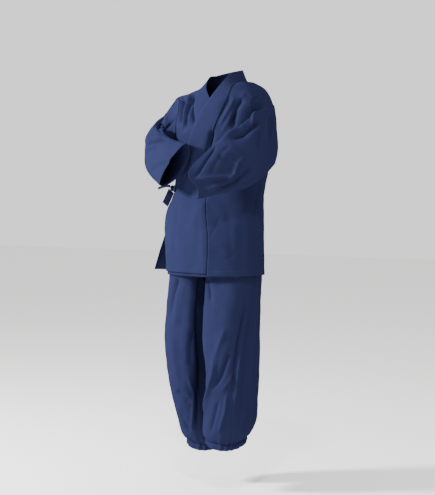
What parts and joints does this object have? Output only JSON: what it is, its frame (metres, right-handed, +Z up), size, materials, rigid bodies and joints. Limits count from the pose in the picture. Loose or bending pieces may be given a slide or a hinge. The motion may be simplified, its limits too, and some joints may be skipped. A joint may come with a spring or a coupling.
{
  "type": "samue",
  "caption": "Worn samue set: wrapped cotton jacket with crossed sleeves and a side tie, over trousers gathered at waist and ankles.",
  "frame": {"origin": "centre of the neck opening, level with the neck's sides, where the wearer's shoulders hold the jacket", "axes": "+Z up, -Y to the wearer's front, +X to the wearer's left"},
  "size_m": [0.5681, 0.4135, 1.4133],
  "materials": {
    "back_left": "matte woven cotton",
    "back_right": "matte woven cotton",
    "left_front": "matte woven cotton",
    "left_okumi": "matte woven cotton",
    "right_front": "matte woven cotton",
    "right_okumi": "matte woven cotton",
    "collar": "matte woven cotton",
    "left_sleeve": "matte woven cotton",
    "right_sleeve": "matte woven cotton",
    "tie_strap": "matte woven cotton",
    "tie_knot": "matte woven cotton",
    "tie_loop": "matte woven cotton",
    "tie_end": "matte woven cotton",
    "trouser_front_left": "matte woven cotton",
    "trouser_front_right": "matte woven cotton",
    "trouser_back_left": "matte woven cotton",
    "trouser_back_right": "matte woven cotton",
    "waistband": "matte woven cotton",
    "cuff_left": "matte woven cotton",
    "cuff_right": "matte woven cotton"
  },
  "bodies": {
    "root": {"back_left": "back_left", "back_right": "back_right", "left_front": "left_front", "left_okumi": "left_okumi", "right_front": "right_front", "right_okumi": "right_okumi", "collar": "collar", "left_sleeve": "left_sleeve", "right_sleeve": "right_sleeve", "tie_strap": "tie_strap", "tie_knot": "tie_knot", "tie_loop": "tie_loop", "tie_end": "tie_end", "trouser_front_left": "trouser_front_left", "trouser_front_right": "trouser_front_right", "trouser_back_left": "trouser_back_left", "trouser_back_right": "trouser_back_right", "waistband": "waistband", "cuff_left": "cuff_left", "cuff_right": "cuff_right"}
  },
  "joints": []
}
